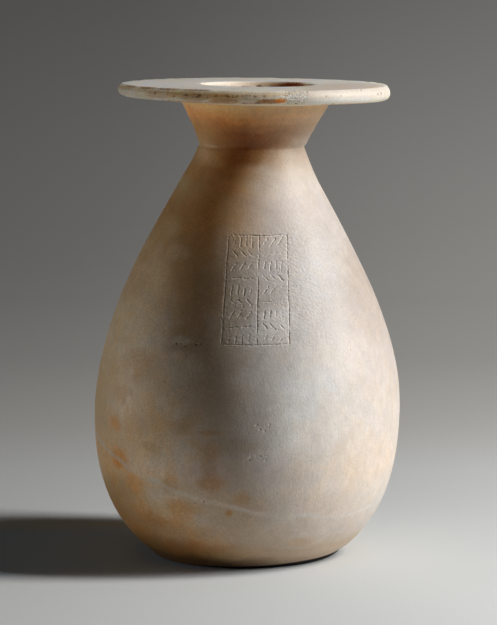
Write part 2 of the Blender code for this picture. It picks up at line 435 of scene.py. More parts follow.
for point in jar.data.vertices:
    x, y, z = point.co
    on_rim = share_between(z, NECK_HEIGHT, HEIGHT - RIM_ROOT_THICKNESS)
    towards_underside = min(1.0, (HEIGHT - z) / RIM_EDGE_THICKNESS)
    slope = RIM_TOP_SLOPE + (RIM_UNDER_SLOPE - RIM_TOP_SLOPE) * towards_underside
    up_neck = share_between(z, NECK_HEIGHT, HEIGHT)
    middle_of_wall = NECK_WALL_MIDDLE + up_neck * (MOUTH_WALL_MIDDLE - NECK_WALL_MIDDLE)
    radius = math.hypot(x, y)
    off_centre = MOUTH_DRIFT * up_neck if radius < middle_of_wall else 0.0
    near_edge = share_between(radius, FOOT_FLAT_RADIUS, FOOT_EDGE_RADIUS)
    near_edge *= share_between(z, 4.0 * FOOT_EDGE_HEIGHT, 2.0 * FOOT_EDGE_HEIGHT)
    on_right = share_between(x, -0.5 * FOOT_FLAT_RADIUS, 0.5 * FOOT_FLAT_RADIUS)
    lift = FOOT_LIFT * near_edge * on_right
    point.co = (x + axis_shift(z) + off_centre, y, z - slope * on_rim * x + lift)

# The ruled panel and its rows of short plain strokes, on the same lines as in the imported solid.
PANEL_TOP = 0.2235
PANEL_BOTTOM = 0.1550
PANEL_LINES_AT_TOP = (-0.0114, 0.0088, 0.0268)
PANEL_LINES_AT_BOTTOM = (-0.0161, 0.0068, 0.0286)
PANEL_BORDER = 0.0040
STROKE_ROWS = 9
STROKE_KINDS = ((84, 4), (8, 2), (52, 3), (-48, 3))
COLUMN_MARGIN = 0.12
STROKE_HALF_LENGTH = 0.33  # as a share of a row's height
STROKE_HALF_CHANGE = 0.04
STROKE_WANDER = 0.06
RULED_DEPTH = 0.00042
STROKE_DEPTH = 0.00034
GROOVE_HALF_WIDTH = 0.00048
TOOL_STEP = 0.00015


def panel_line(index, down):
    """Sideways place of the panel's left edge, divider or right edge, at a share of its height."""
    at_top, at_bottom = PANEL_LINES_AT_TOP[index], PANEL_LINES_AT_BOTTOM[index]
    return at_top + down * (at_bottom - at_top)


def panel_point(column, across, down):
    """(x, height) at shares across and down one column of the panel."""
    left, right = panel_line(column, down), panel_line(column + 1, down)
    return left + across * (right - left), PANEL_TOP + down * (PANEL_BOTTOM - PANEL_TOP)


ruled = [(panel_point(c, a, 0.0), panel_point(c, a, 1.0)) for c, a in ((0, 0), (1, 0), (1, 1))]
ruled += [(panel_point(0, 0.0, down), panel_point(1, 1.0, down)) for down in (0.0, 1.0)]
strokes = []
row_pitch = (PANEL_TOP - PANEL_BOTTOM) / STROKE_ROWS
for column in range(2):
    for row in range(STROKE_ROWS):
        angle, count = STROKE_KINDS[(3 * row + 2 * column) % len(STROKE_KINDS)]
        tilt = math.radians(angle)
        for place in range(count):
            across = COLUMN_MARGIN + (1 - 2 * COLUMN_MARGIN) * (place + 0.5) / count
            unevenness = ((2 * row + 3 * place + column) % 5 - 2) / 2
            down = (row + 0.5 + STROKE_WANDER * unevenness) / STROKE_ROWS
            x, z = panel_point(column, across, down)
            half = row_pitch * (STROKE_HALF_LENGTH + STROKE_HALF_CHANGE * unevenness)
            dx, dz = half * math.cos(tilt), half * math.sin(tilt)
            strokes.append(((x - dx, z - dz), (x + dx, z + dz)))

cuts = []
for lines, depth in ((ruled, RULED_DEPTH), (strokes, STROKE_DEPTH)):
    for start, end in lines:
        length = math.dist(start, end)
        steps = round(length / TOOL_STEP)
        for i in range(steps + 1):
            x, z = Vector(start).lerp(Vector(end), i / steps)
            cuts.append((Vector((x, 0.0, z)), depth))
carved = KDTree(len(cuts))
for i, (place, depth) in enumerate(cuts):
    carved.insert(place, i)
carved.balance()

# Knocks on the body: (where, radius, depth, how much dirt is in it).
CHIPS = [
    ((0.0610, -0.0690, 0.2020), 0.0009, 0.0003, 0.2),
    ((-0.0700, -0.0662, 0.0473), 0.0013, 0.0004, 0.3),
    ((-0.0330, 0.0930, 0.1180), 0.0020, 0.0006, 0.5),
    ((0.0560, 0.0800, 0.0720), 0.0016, 0.0005, 0.5),
    ((0.0900, 0.0420, 0.1450), 0.0014, 0.0005, 0.4),
]
# Small breaks lie together in patches: (middle, how many, spread sideways and up, dirt). Where the
# dirt is below zero, the break is fresh and paler than the stone.
BREAK_SIZES = (0.0005, 0.0006, 0.0008)
BREAK_DEPTH = 0.70  # as a share of a break's radius
BREAKS = (
    ((0.0110, -0.1030, 0.1020), 12, 0.0050, 0.0022, -0.9),
    ((0.0060, -0.1034, 0.0820), 26, 0.0080, 0.0028, -0.9),
    ((-0.0350, -0.0870, 0.1540), 9, 0.0140, 0.0012, 0.9),
    ((-0.0300, -0.0930, 0.0490), 10, 0.0120, 0.0030, 0.9),
    ((-0.0500, -0.0850, 0.0560), 4, 0.0050, 0.0020, 0.4),
    ((-0.0780, -0.0480, 0.0420), 6, 0.0050, 0.0060, 0.2),
)
chance = random.Random(41)
for (x, y, z), count, sideways, upward, dirt in BREAKS:
    for i in range(count):
        beside, above = x + chance.uniform(-sideways, sideways), z + chance.uniform(-upward, upward)
        onto_body = math.hypot(x, y) / math.hypot(beside, y)
        size = chance.choice(BREAK_SIZES)
        place = (beside * onto_body, y * onto_body, above)
        CHIPS.append((place, size, BREAK_DEPTH * size, dirt))
# Knocks lie all round the disc's edge, at (share of the way down it, how far in), and pits lie
# close together along its front: (left end, right end, how many).
RIM_KNOCKS = 110
RIM_KNOCK_PLACES = ((0.0, 0.0016), (0.1, 0.0), (0.4, 0.0), (0.9, 0.0026), (1.0, 0.0026))
RIM_KNOCK_SIZES = (0.0006, 0.0008, 0.0008, 0.0011, 0.0014)
RIM_KNOCK_DEPTH = 0.40  # as a share of a knock's radius
PIT_CLUSTERS = (
    (-0.042, -0.018, 26),
    (-0.013, -0.002, 12),
    (0.000, 0.012, 14),
    (-0.080, -0.042, 12),
)
PIT_LEVELS = (0.12, 0.62)
PIT_SCALE = 0.75
rim_middle = axis_shift(HEIGHT)
spots = []
for i in range(RIM_KNOCKS):
    spots.append((chance.uniform(0.0, math.tau), *chance.choice(RIM_KNOCK_PLACES), 1.0))
for left, right, count in PIT_CLUSTERS:
    for i in range(count):
        turn = -math.acos((chance.uniform(left, right) - rim_middle) / RIM_RADIUS)
        spots.append((turn, chance.uniform(*PIT_LEVELS), 0.0, PIT_SCALE))
for turn, share, inset, scale in spots:
    drop = share * RIM_EDGE_THICKNESS
    radius = RIM_RADIUS - inset
    size = scale * chance.choice(RIM_KNOCK_SIZES)
    x = radius * math.cos(turn)
    slope = RIM_TOP_SLOPE + (RIM_UNDER_SLOPE - RIM_TOP_SLOPE) * share
    place = (x + rim_middle, radius * math.sin(turn), HEIGHT - drop - slope * x)
    CHIPS.append((place, size, RIM_KNOCK_DEPTH * size, 1.0))
knocks = KDTree(len(CHIPS))
for i, chip in enumerate(CHIPS):
    knocks.insert(chip[0], i)
knocks.balance()

# The net of faces is made finer on the panel, along the disc's edge and round each knock.
BODY_TOP = 0.290  # knocks below this height are on the body
DISC_BOTTOM = 0.300  # the whole edge of the disc is above this height
DISC_FRONT = 0.010  # and its front half is nearer than this
CUT_SURROUND = 0.0013
KNOCK_SURROUND = 0.0040
KNOCK_REACH = 0.0016


def edit_faces(thing, wanted):
    """Opens a thing in edit mode with only those faces selected whose middle is wanted."""
    edit_only(thing)
    bpy.ops.mesh.select_mode(type="FACE")
    bpy.ops.mesh.select_all(action="DESELECT")
    bpy.ops.object.mode_set(mode="OBJECT")
    for face in thing.data.polygons:
        face.select = wanted(face.center)
    bpy.ops.object.mode_set(mode="EDIT")


def on_panel(place):
    """Whether a place lies on the ruled panel or just round it."""
    x, y, z = place
    down = (PANEL_TOP - z) / (PANEL_TOP - PANEL_BOTTOM)
    border = PANEL_BORDER
    beside = panel_line(0, down) - border < x < panel_line(2, down) + border
    return y < 0.0 and beside and PANEL_BOTTOM - border < z < PANEL_TOP + border


def by_a_cut(place):
    """Whether a place on the front is in or right beside a carved line."""
    return on_panel(place) and carved.find((place[0], 0.0, place[2]))[2] < CUT_SURROUND


def on_rim_edge(place):
    """Whether a place lies on the front half of the disc's edge."""
    x, y, z = place
    far_out = math.hypot(x - rim_middle, y) > RIM_RADIUS - RIM_UNDER_INSET
    return far_out and y < DISC_FRONT and z > DISC_BOTTOM


def by_a_body_knock(place):
    """Whether a place on the body is close round a knock."""
    return place[2] < BODY_TOP and knocks.find(place)[2] < KNOCK_SURROUND


def at_a_body_knock(place):
    """Whether a place on the body is in a knock."""
    return place[2] < BODY_TOP and knocks.find(place)[2] < KNOCK_REACH


for wanted, number_cuts, smoothness in (
    (on_panel, 3, 1.0),
    (by_a_cut, 2, 0.0),
    (on_rim_edge, 3, 0.0),
    (by_a_body_knock, 3, 1.0),
    (at_a_body_knock, 2, 0.0),
):
    edit_faces(jar, wanted)
    bpy.ops.mesh.subdivide(number_cuts=number_cuts, smoothness=smoothness)
    bpy.ops.object.mode_set(mode="OBJECT")

# The hand's unevenness, the cuts and the knocks sink the surface along its own slope.
# Waves are given as (how deep they are, how many go to a metre).
HAND_WAVES = ((0.00012, 28.0), (0.00004, 110.0))
RIM_EDGE_WAVES = ((0.00024, 130.0), (0.00010, 520.0))
PANEL_GRAIN = ((0.00012, 760.0),)
TOOL_STRAYING = ((0.00045, 120.0), (0.00018, 700.0))
STRAYING_SEED = 1795343393  # noise_vector would otherwise take the clock, and change in each run
CUT_WIDENING = ((0.3, 420.0),)  # as a share of its width
CUT_WEAR = ((1.1, 110.0), (1.5, 820.0))  # as a share of its depth
GROOVE_ROUNDING = 1.4  # above 1, the sides of a cut run out more gently
WIDEST_KNOCK = 0.0030
KNOCK_RAGGEDNESS = ((0.5, 700.0),)  # as a share of its radius
RIM_EDGE_BAND = 0.0060
CRUMBLY_PLACE = Vector((0.0310, -0.0880, 0.3150))  # coarse crystals stand bare here
CRUMBLY_REACH = 0.0100
CRUMBLY_DEPTH = 0.00050
CRUMBLY_RATE = 900.0
SMOOTH_FOOT_HEIGHT = 0.0030


def wave_depth(waves, place):
    """How deep these waves are at a place."""
    return sum(depth * noise.noise(rate * place) for depth, rate in waves)


noise.seed_set(STRAYING_SEED)
groove_shares, knock_shares, moved = [], [], []
for point in jar.data.vertices:
    place = point.co.copy()
    x, y, z = place
    sink = wave_depth(HAND_WAVES, place)
    groove_share = 0.0
    if on_panel(place):
        wobble = Vector()
        for reach, rate in TOOL_STRAYING:
            wobble += reach * noise.noise_vector(rate * place)
        index, distance = carved.find((x + wobble.x, 0.0, z + wobble.z))[1:]
        width = GROOVE_HALF_WIDTH * (1.0 + wave_depth(CUT_WIDENING, place))
        if distance < width:
            profile = (1.0 - (distance / width) ** 2) ** GROOVE_ROUNDING
            kept = min(1.6, max(0.0, 0.9 + wave_depth(CUT_WEAR, place)))
            groove_share = profile * min(1.0, kept)
            sink += cuts[index][1] * kept * profile
        sink += wave_depth(PANEL_GRAIN, place)
    knock_share = 0.0
    for _, index, distance in knocks.find_range(place, WIDEST_KNOCK):
        radius, depth, dirt = CHIPS[index][1:]
        radius *= 1.0 + wave_depth(KNOCK_RAGGEDNESS, place)
        if distance < radius:
            share = 1.0 - (distance / radius) ** 2
            knock_share = max(knock_share, dirt * share, key=abs)
            sink += depth * share
    if z > DISC_BOTTOM and math.hypot(x - rim_middle, y) > RIM_RADIUS - RIM_EDGE_BAND:
        sink += wave_depth(RIM_EDGE_WAVES, place)
        crumbly = max(0.0, 1.0 - ((place - CRUMBLY_PLACE).length / CRUMBLY_REACH) ** 2)
        sink += CRUMBLY_DEPTH * crumbly * (noise.noise(CRUMBLY_RATE * place) + 0.4)
    sink *= min(1.0, z / SMOOTH_FOOT_HEIGHT)
    moved.append(place - sink * point.normal)
    groove_shares.append(groove_share)
    knock_shares.append(knock_share)
for point, place in zip(jar.data.vertices, moved):
    point.co = place
for name, shares in (("cut", groove_shares), ("knock", knock_shares)):
    layer = jar.data.attributes.new(name, "FLOAT", "POINT")
    layer.data.foreach_set("value", shares)
jar.data.update()
jar.data.shade_smooth()

# Banded travertine, ground smooth and left with a low soft gloss. The eye gets cloudy cream stone
# that darkens to honey and brown where iron stained it and where shade is painted in, fine upright
# sanding, and dirt in hollows.
# The beds of the stone from the foot up, painted shade and light included: (height, colours at
# shares of the way from left to right).
# Their colours are partly painted shade and light: the brown band left of the middle follows the
# edge of the key light, the collar is darkened where the disc shades it, its top is painted bright
# for the light that glows through the disc, the lowest beds darken towards the foot and the left,
# and the left side is painted warm for the warm light on its shaded side.
BEDS_AND_PAINTED_SHADE = (
    (0.004, (
        (0.22, "6A4C22"), (0.34, "7E5830"), (0.44, "866848"), (0.54, "987C5E"), (0.62, "B69C80"),
        (0.75, "C0AA92"),
    )),
    (0.012, (
        (0.20, "A0763C"), (0.27, "AA7A42"), (0.33, "B0804A"), (0.40, "BC945E"), (0.46, "BE9C74"),
        (0.58, "BEA488"), (0.75, "CAB49C"),
    )),
    (0.026, (
        (0.16, "C8965C"), (0.24, "D0A678"), (0.36, "CCA67C"), (0.47, "C6AE94"), (0.58, "C8B8A6"),
        (0.75, "D8CCC0"),
    )),
    (0.046, (
        (0.09, "CCA46E"), (0.15, "DEB684"), (0.22, "DEC29C"), (0.30, "D4B894"), (0.38, "CEB8A0"),
        (0.50, "C2A88C"), (0.60, "D4C6B8"), (0.75, "E6D6C8"), (0.90, "E2D8CC"),
    )),
    (0.070, (
        (0.09, "F4C890"), (0.18, "F2D0A8"), (0.28, "E0C8AC"), (0.36, "CEB69E"), (0.46, "BEAC9C"),
        (0.58, "D7CABF"), (0.75, "ECE0D4"), (0.92, "ECDCCC"),
    )),
    (0.095, (
        (0.05, "E6C79A"), (0.20, "E3C398"), (0.28, "D4BFA5"), (0.39, "BCA791"), (0.45, "BDAF9E"),
        (0.56, "D7D0C8"), (0.64, "EEEBE6"), (0.80, "F2E8DF"), (0.95, "E6DBD0"),
    )),
    (0.162, (
        (0.10, "F8DEB6"), (0.16, "F6DCB6"), (0.22, "E4CEB0"), (0.27, "D2B898"), (0.31, "BA9E7E"),
        (0.37, "B6997C"), (0.45, "C5B6A2"), (0.56, "D4CDC6"), (0.73, "DED8D2"), (0.85, "D0C3B9"),
    )),
    (0.195, (
        (0.14, "E8C89C"), (0.22, "F2D2A6"), (0.28, "DAB17E"), (0.34, "BA9468"), (0.39, "B1926F"),
        (0.45, "C8B8A3"), (0.56, "D3CCC5"), (0.73, "D8D3CD"), (0.85, "C6B9AE"),
    )),
    (0.240, (
        (0.28, "CCA068"), (0.37, "CC8E4E"), (0.41, "DA9E5C"), (0.45, "E6B884"), (0.51, "D6BA9E"),
        (0.58, "D2C6BC"), (0.75, "D2C8C0"),
    )),
    (0.254, (
        (0.30, "D4B686"), (0.34, "CCA26C"), (0.39, "CC9154"), (0.45, "E4A464"), (0.49, "E8BE8E"),
        (0.53, "E2CEB8"), (0.60, "DED0C2"), (0.70, "D4CAC0"),
    )),
    (0.263, (
        (0.33, "D0A268"), (0.38, "CE9A60"), (0.42, "C48848"), (0.45, "CC8E48"), (0.49, "DEA86E"),
        (0.53, "E4C29E"), (0.57, "E8D6C2"), (0.64, "DED0C0"), (0.70, "D6C8B8"),
    )),
    (0.272, (
        (0.33, "CCA878"), (0.38, "ECC28E"), (0.42, "D8A462"), (0.45, "BC7834"), (0.50, "AE6A2C"),
        (0.54, "BA8852"), (0.57, "D0AC88"), (0.62, "D6C0A6"), (0.70, "D4C4B4"),
    )),
    (0.281, (
        (0.35, "E0B882"), (0.38, "DCAE78"), (0.42, "CE9252"), (0.46, "B87438"), (0.50, "B0682E"),
        (0.57, "A26A3E"), (0.61, "AE845E"), (0.65, "BCA28A"), (0.70, "C8BAAC"),
    )),
    (0.288, (
        (0.37, "E2B070"), (0.42, "D09050"), (0.46, "C47A3A"), (0.50, "C07234"), (0.55, "B87440"),
        (0.61, "B2865C"), (0.69, "B69E88"),
    )),
    (0.293, (
        (0.37, "E2B16E"), (0.42, "DC9E58"), (0.48, "DC9650"), (0.56, "D49A60"), (0.62, "C89C70"),
        (0.69, "C0A082"),
    )),
    (0.297, (
        (0.35, "E6BA78"), (0.42, "EAB068"), (0.50, "F2B46A"), (0.57, "EEB87C"), (0.65, "DEBA92"),
        (0.70, "D2B290"),
    )),
    (0.301, (
        (0.25, "ECC07C"), (0.36, "F2C47E"), (0.46, "F8CA88"), (0.60, "F8CC92"), (0.70, "E8C49E"),
    )),
    (0.307, ((0.30, "F6D4A0"), (0.50, "F8D8AA"), (0.72, "F2D0A6"))),
)
# (where, reach each way, colour, strength)
STAINS_AND_PAINTED_SHADE = (
    # honey and brown clouds under the neck and down the left of the panel, the brown partly painted
    # shade along the edge of the key light
    ((-0.034, -0.058, 0.228), (0.012, 0.020, 0.012), "DCA468", 0.45),
    ((-0.024, -0.078, 0.190), (0.010, 0.020, 0.016), "A88C68", 0.50),
    ((-0.014, -0.074, 0.218), (0.010, 0.020, 0.014), "C6B49E", 0.50),
    # cream and ochre clouds on the left
    ((-0.066, -0.054, 0.172), (0.016, 0.030, 0.008), "F2D4A8", 0.50),
    ((-0.060, -0.060, 0.196), (0.012, 0.030, 0.010), "F8DAB0", 0.50),
    ((-0.072, -0.045, 0.205), (0.012, 0.030, 0.006), "DDB784", 0.50),
    ((-0.044, -0.080, 0.161), (0.008, 0.016, 0.005), "B4946C", 0.55),
    ((-0.063, -0.080, 0.072), (0.016, 0.030, 0.009), "F2DEC6", 0.50),
    ((-0.053, -0.078, 0.053), (0.014, 0.030, 0.006), "ECD6BA", 0.45),
    ((-0.045, -0.090, 0.082), (0.010, 0.020, 0.012), "E4D4C2", 0.40),
    ((-0.030, -0.088, 0.036), (0.012, 0.020, 0.005), "DAC6AE", 0.40),
    ((-0.063, -0.082, 0.086), (0.009, 0.016, 0.003), "CEA968", 0.50),
    ((-0.080, -0.062, 0.117), (0.011, 0.020, 0.007), "D2A062", 0.55),
    ((-0.073, -0.074, 0.099), (0.009, 0.016, 0.009), "DCA872", 0.45),
    ((-0.087, -0.056, 0.096), (0.0040, 0.010, 0.006), "ECA23C", 0.75),
    ((-0.084, -0.058, 0.073), (0.009, 0.016, 0.0070), "EE9C34", 0.80),
    ((-0.076, -0.064, 0.057), (0.006, 0.016, 0.007), "E8AA62", 0.45),
    ((-0.050, -0.087, 0.061), (0.005, 0.012, 0.008), "CC9A64", 0.45),
    ((-0.042, -0.095, 0.102), (0.009, 0.016, 0.007), "BC9872", 0.50),
    ((-0.040, -0.088, 0.046), (0.014, 0.020, 0.006), "D09A5C", 0.55),
    ((-0.044, -0.088, 0.152), (0.009, 0.020, 0.0014), "A5845F", 0.25),
    ((-0.042, -0.088, 0.1555), (0.007, 0.020, 0.0020), "DCCCB4", 0.60),
    ((-0.040, -0.092, 0.138), (0.014, 0.020, 0.010), "D6C8B6", 0.50),
    # the brown upright band, partly painted shade where the key light gives out, and the spots
    # along the vein
    ((-0.024, -0.100, 0.078), (0.006, 0.014, 0.016), "B48C6C", 0.55),
    ((-0.023, -0.098, 0.064), (0.009, 0.014, 0.006), "C48E5C", 0.65),
    ((-0.022, -0.100, 0.098), (0.012, 0.014, 0.0022), "B68C62", 0.50),
    ((-0.004, -0.098, 0.053), (0.007, 0.012, 0.006), "C89E6C", 0.50),
    ((-0.012, -0.094, 0.043), (0.0030, 0.008, 0.0022), "C08A44", 0.70),
    ((-0.060, -0.066, 0.034), (0.012, 0.020, 0.006), "C08C54", 0.40),
    ((-0.005, -0.103, 0.090), (0.015, 0.020, 0.006), "A88C74", 0.45),
    ((-0.035, -0.096, 0.109), (0.008, 0.020, 0.005), "B8946C", 0.35),
    ((-0.030, -0.066, 0.018), (0.026, 0.030, 0.006), "B87E48", 0.35),
    # cool grey by the panel, then peach low on the right
    ((0.004, -0.090, 0.161), (0.014, 0.030, 0.008), "E0DAD2", 0.55),
    ((0.020, -0.088, 0.170), (0.014, 0.030, 0.010), "F4F0EC", 0.65),
    ((0.000, -0.096, 0.133), (0.012, 0.020, 0.008), "DED6CE", 0.45),
    ((-0.072, -0.070, 0.137), (0.017, 0.024, 0.014), "CCA064", 0.60),
    ((-0.054, -0.048, 0.228), (0.010, 0.030, 0.010), "F2D2A4", 0.45),
    ((-0.047, -0.062, 0.211), (0.009, 0.030, 0.006), "F0D0A2", 0.55),
    ((-0.083, -0.050, 0.150), (0.009, 0.030, 0.008), "F6E0BE", 0.60),
    ((-0.047, -0.085, 0.147), (0.008, 0.020, 0.003), "E8CEAC", 0.55),
    ((0.008, -0.100, 0.104), (0.012, 0.030, 0.014), "C6BAB0", 0.40),
    ((0.046, -0.086, 0.125), (0.026, 0.040, 0.020), "F0F0EE", 0.45),
    ((0.068, -0.070, 0.142), (0.036, 0.060, 0.018), "F0E8E0", 0.40),
    ((0.074, -0.062, 0.074), (0.026, 0.050, 0.022), "F2E0CE", 0.60),
    ((0.024, -0.098, 0.070), (0.014, 0.030, 0.010), "D6CCC4", 0.45),
    ((0.036, -0.076, 0.022), (0.010, 0.020, 0.004), "CEA67C", 0.45),
    # clouds and spots on the far side
    ((0.030, 0.090, 0.120), (0.030, 0.040, 0.035), "D9B98A", 0.60),
    ((-0.050, 0.080, 0.080), (0.014, 0.030, 0.014), "C08F52", 0.55),
    ((0.060, 0.070, 0.180), (0.020, 0.030, 0.012), "EFE9DE", 0.60),
    ((0.095, 0.030, 0.100), (0.016, 0.030, 0.022), "E7CFAF", 0.55),
    ((-0.095, 0.035, 0.130), (0.016, 0.030, 0.022), "D8B27C", 0.50),
)
RIM_STAINS_LIGHT_AND_SHADE = (
    # the disc's top, painted near white: partly its pale stone, partly painted light on the top
    ((-0.030, 0.000, 0.3230), (0.150, 0.150, 0.0040), "F8F4F0", 0.80),
    ((0.060, 0.000, 0.3222), (0.100, 0.150, 0.0040), "F8F4F0", 0.80),
    ((0.066, -0.050, 0.3170), (0.046, 0.090, 0.0060), "E8D4C4", 0.75),
    ((-0.010, -0.088, 0.3176), (0.058, 0.030, 0.0018), "D8B488", 0.55),
    ((-0.082, -0.041, 0.3203), (0.012, 0.015, 0.0011), "90602C", 0.80),
    ((-0.070, -0.059, 0.3203), (0.014, 0.013, 0.0011), "90602C", 0.80),
    ((-0.055, -0.073, 0.3202), (0.015, 0.012, 0.0010), "8E5824", 0.85),
    ((-0.037, -0.084, 0.3200), (0.017, 0.010, 0.0009), "94602C", 0.75),
    ((-0.084, -0.040, 0.3190), (0.010, 0.040, 0.0016), "D4B890", 0.60),
    ((-0.058, -0.076, 0.3165), (0.020, 0.030, 0.0028), "D6B284", 0.70),
    ((-0.034, -0.086, 0.3150), (0.012, 0.020, 0.0028), "C69A66", 0.60),
    ((-0.014, -0.090, 0.3130), (0.012, 0.020, 0.0022), "B88448", 0.80),
    ((-0.020, -0.090, 0.3160), (0.018, 0.020, 0.0022), "E0C298", 0.70),
    ((-0.046, -0.080, 0.3118), (0.034, 0.030, 0.0009), "C89C62", 0.80),
    ((0.0150, -0.088, 0.3130), (0.0110, 0.016, 0.0017), "B07A34", 1.20),
    ((0.0225, -0.088, 0.3136), (0.0050, 0.016, 0.0017), "F09828", 1.20),
    ((0.004, -0.090, 0.3119), (0.010, 0.016, 0.0007), "96683C", 0.70),
    ((0.033, -0.086, 0.3150), (0.009, 0.016, 0.0036), "FFF6EA", 1.00),
    ((0.004, -0.090, 0.3155), (0.007, 0.016, 0.0034), "E4DCCE", 0.60),
    ((0.062, -0.074, 0.3122), (0.034, 0.040, 0.0026), "FFF8F0", 0.80),
    ((0.066, -0.070, 0.3096), (0.030, 0.040, 0.0012), "F0C090", 0.85),
    # the inner wall of the mouth at the back: stained, and painted dark brown on its right where it
    # lies in shade
    ((0.026, 0.024, 0.3110), (0.0230, 0.016, 0.0120), "94501F", 1.60),
    ((0.0090, 0.038, 0.3164), (0.0024, 0.010, 0.0013), "8A5A2C", 1.00),
    ((-0.0010, 0.038, 0.3160), (0.0060, 0.010, 0.0010), "8A6438", 0.80),
    ((-0.020, 0.028, 0.3130), (0.024, 0.020, 0.0060), "B8A688", 1.00),
)

travertine, tree, shader = new_material("honed_travertine")
where = add_node(tree, "TexCoord").outputs["Object"]

# The bedding and the stains wander: 20 mm waves, and 4 mm ragged edges on them. On the disc the
# stains only have ragged edges 1.5 mm deep.
wandering, ragged = where, None
for size, amount in ((0.0016, 0.0016), (0.020, 0.010), (0.004, 0.0032)):
    waves = add_node(tree, "TexNoise", inputs={"Vector": where, "Scale": 1.0 / size, "Detail": 3.0})
    offset = add_node(
        tree,
        "VectorMath",
        TIMES_PLUS,
        {0: waves.outputs["Color"], 1: (amount,) * 3, 2: (-0.5 * amount,) * 3},
    )
    shifted = add_node(
        tree, "VectorMath", {"operation": "ADD"}, {0: wandering, 1: offset.outputs[0]}
    )
    wandering = shifted.outputs[0]
    ragged = ragged or wandering

place = add_node(tree, "SeparateXYZ", inputs={0: wandering})
across = add_node(
    tree,
    "MapRange",
    inputs={"Value": place.outputs["X"], "From Min": -BELLY_RADIUS, "From Max": BELLY_RADIUS},
)
stone, below = None, None
for height, stops in BEDS_AND_PAINTED_SHADE:
    bed = add_node(tree, "ValToRGB", inputs={0: across.outputs[0]}, stops=stops).outputs[0]
    if stone:
        share = add_node(
            tree,
            "MapRange",
            SMOOTH_FADE,
            {"Value": place.outputs["Z"], "From Min": below, "From Max": height},
        )
        bed = add_node(tree, "Mix", COLOUR_MIX, {0: share.outputs[0], 6: stone, 7: bed}).outputs[2]
    stone, below = bed, height

# The disc and its collar are cut from a paler bed, and the disc's pale colour is partly painted
# light on its front edge, which lies in shade.
off_axis = add_node(
    tree, "VectorMath", TIMES_PLUS, {0: where, 1: (1.0, 1.0, 0.0), 2: (-rim_middle, 0.0, 0.0)}
)
from_axis = add_node(tree, "VectorMath", {"operation": "LENGTH"}, {0: off_axis.outputs[0]})
height = add_node(tree, "SeparateXYZ", inputs={0: where}).outputs["Z"]
# It is the disc outside the collar above the first height, and everywhere above the second.
PALE_OUTSIDE_COLLAR = (0.2950, 0.3000)
PALE_EVERYWHERE = (0.3120, 0.3150)
on_disc = None
for operation, value, (start, end) in (
    (None, from_axis.outputs["Value"], (COLLAR_TOP_RADIUS, 1.10 * COLLAR_TOP_RADIUS)),
    ("MULTIPLY", height, PALE_OUTSIDE_COLLAR),
    ("MAXIMUM", height, PALE_EVERYWHERE),
):
    share = add_node(
        tree, "MapRange", SMOOTH_FADE, {"Value": value, "From Min": start, "From Max": end}
    )
    if operation:
        share = add_node(
            tree, "Math", {"operation": operation}, {0: on_disc.outputs[0], 1: share.outputs[0]}
        )
    on_disc = share


PATCH_EDGE = 0.85  # a patch is at half its strength at this share of its reach


def patch_share(place, centre, reach, full, strength):
    """How far a place is in a soft oval patch: at full strength up to that share of its reach."""
    offset = add_node(
        tree,
        "VectorMath",
        TIMES_PLUS,
        {0: place, 1: [1.0 / r for r in reach], 2: [-c / r for c, r in zip(centre, reach)]},
    )
    distance = add_node(tree, "VectorMath", {"operation": "LENGTH"}, {0: offset.outputs[0]})
    return add_node(
        tree,
        "MapRange",
        SMOOTH_FADE,
        {
            "Value": distance.outputs["Value"],
            "From Min": 2.0 * PATCH_EDGE - full,
            "From Max": full,
            "To Max": strength,
        },
    ).outputs[0]


# On the disc the stains are broken up by paler crystals less than a millimetre across.
CRYSTAL_SPECKLE = 0.0009
# Partly the disc's own pale stone, partly painted light on its shaded front edge.
DISC_STONE_AND_LIGHT = "FCEDD9"
speckles = add_node(
    tree,
    "TexNoise",
    inputs={"Vector": where, "Scale": 1.0 / CRYSTAL_SPECKLE, "Detail": 3.0, "Roughness": 0.7},
)
speckled = add_node(
    tree,
    "MapRange",
    inputs={
        "Value": speckles.outputs[0],
        "From Min": 0.40,
        "From Max": 0.60,
        "To Min": 0.45,
        "To Max": 1.20,
    },
)
for stains_light_and_shade, bed, coordinates, full in (
    (STAINS_AND_PAINTED_SHADE, None, wandering, 0.35),
    (RIM_STAINS_LIGHT_AND_SHADE, DISC_STONE_AND_LIGHT, ragged, 0.65),
):
    if bed:
        stone = add_node(
            tree, "Mix", COLOUR_MIX, {0: on_disc.outputs[0], 6: stone, 7: linear(bed)}
        ).outputs[2]
    for centre, reach, code, strength in stains_light_and_shade:
        share = patch_share(coordinates, centre, reach, full, strength)
        if bed:
            share = add_node(tree, "Math", TIMES, {0: share, 1: speckled.outputs[0]}).outputs[0]
        stone = add_node(tree, "Mix", COLOUR_MIX, {0: share, 6: stone, 7: linear(code)}).outputs[2]

# A pale crystal vein runs down across the belly to the right: a thin tilted sheet in the stone.
VEIN_SLOPE = (0.220, -0.200, 1.000)
VEIN_HEIGHT = 0.0650
VEIN_SWELL = 0.012  # how much the sheet strays up and down, in swells this long
VEIN_SWELL_LENGTH = 0.035
VEIN_FULL = 0.0004  # how far off the sheet's middle the vein is at its fullest, and where it ends
VEIN_END = 0.0030
swell = add_node(
    tree, "TexNoise", inputs={"Vector": where, "Scale": 1.0 / VEIN_SWELL_LENGTH, "Detail": 2.0}
)
sheet = add_node(tree, "VectorMath", {"operation": "DOT_PRODUCT"}, {0: where, 1: VEIN_SLOPE})
sheet = add_node(
    tree, "Math", TIMES_PLUS, {0: swell.outputs[0], 1: VEIN_SWELL, 2: sheet.outputs["Value"]}
)
off_sheet = add_node(
    tree,
    "Math",
    {"operation": "SUBTRACT"},
    {0: sheet.outputs[0], 1: VEIN_HEIGHT + 0.5 * VEIN_SWELL},
)
